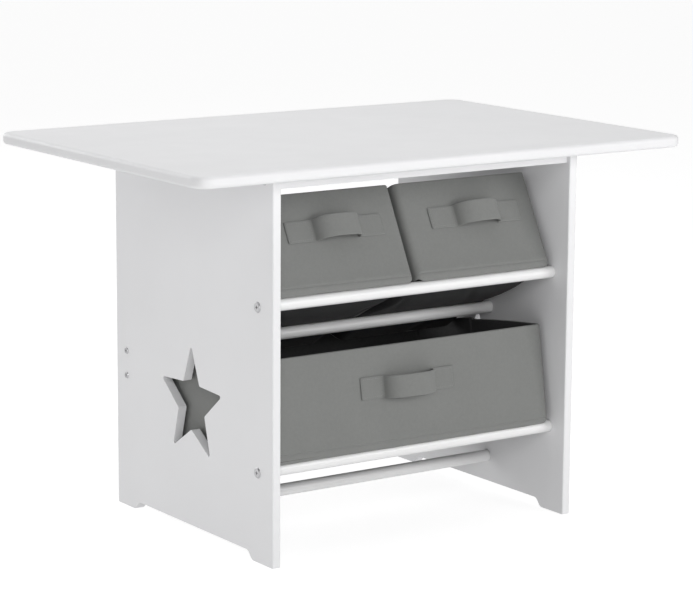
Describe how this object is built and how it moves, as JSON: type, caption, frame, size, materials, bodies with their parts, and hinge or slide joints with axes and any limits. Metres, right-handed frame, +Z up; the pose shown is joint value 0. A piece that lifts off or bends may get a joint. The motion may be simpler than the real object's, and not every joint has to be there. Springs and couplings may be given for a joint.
{
  "type": "kids activity table with fabric bins",
  "caption": "Low white children's table with star cut-outs in its sides and grey fabric storage bins that slide out along sloping rods.",
  "frame": {"origin": "on the floor, under the centre of the table top", "axes": "+X along the table to the right seen from the front, -Y towards the front, +Z up"},
  "size_m": [0.74, 0.5, 0.5],
  "materials": {
    "white_board": "satin white paint on board",
    "white_rod": "satin white paint on round rod",
    "screw_steel": "zinc plated",
    "grey_fabric": "matt non-woven fabric",
    "dark_lining": "matt non-woven lining",
    "greyboard": "raw board"
  },
  "bodies": {
    "frame": {"table_top": "white_board", "left_side_panel": "white_board", "right_side_panel": "white_board", "front_top_rail": "white_board", "rear_top_rail": "white_board", "rear_stretcher": "white_board", "upper_front_rod": "white_rod", "upper_rear_rod": "white_rod", "lower_front_rod": "white_rod", "bin_support_rod": "white_rod", "bottom_rod": "white_rod", "rod_bolts": "screw_steel", "rail_screws": "screw_steel", "stretcher_screws": "screw_steel", "top_screws": "screw_steel"},
    "left_bin": {"left_bin_cover": "grey_fabric", "left_bin_lining": "dark_lining", "left_bin_underside": "dark_lining", "left_bin_base_board": "greyboard", "left_bin_front_board": "greyboard", "left_bin_rear_board": "greyboard", "left_bin_left_board": "greyboard", "left_bin_right_board": "greyboard", "left_bin_handle": "grey_fabric"},
    "right_bin": {"right_bin_cover": "grey_fabric", "right_bin_lining": "dark_lining", "right_bin_underside": "dark_lining", "right_bin_base_board": "greyboard", "right_bin_front_board": "greyboard", "right_bin_rear_board": "greyboard", "right_bin_left_board": "greyboard", "right_bin_right_board": "greyboard", "right_bin_handle": "grey_fabric"},
    "large_bin": {"large_bin_cover": "grey_fabric", "large_bin_lining": "dark_lining", "large_bin_underside": "dark_lining", "large_bin_base_board": "greyboard", "large_bin_front_board": "greyboard", "large_bin_rear_board": "greyboard", "large_bin_left_board": "greyboard", "large_bin_right_board": "greyboard", "large_bin_handle": "grey_fabric"}
  },
  "joints": [
    {"name": "left_bin_slide", "type": "slide", "parent": "frame", "child": "left_bin", "axis": [0, -0.8875, 0.4607], "range_m": [0, 0.055]},
    {"name": "right_bin_slide", "type": "slide", "parent": "frame", "child": "right_bin", "axis": [0, -0.8875, 0.4607], "range_m": [0, 0.055]},
    {"name": "large_bin_slide", "type": "slide", "parent": "frame", "child": "large_bin", "axis": [0, -0.9877, 0.1564], "range_m": [0, 0.13]}
  ]
}
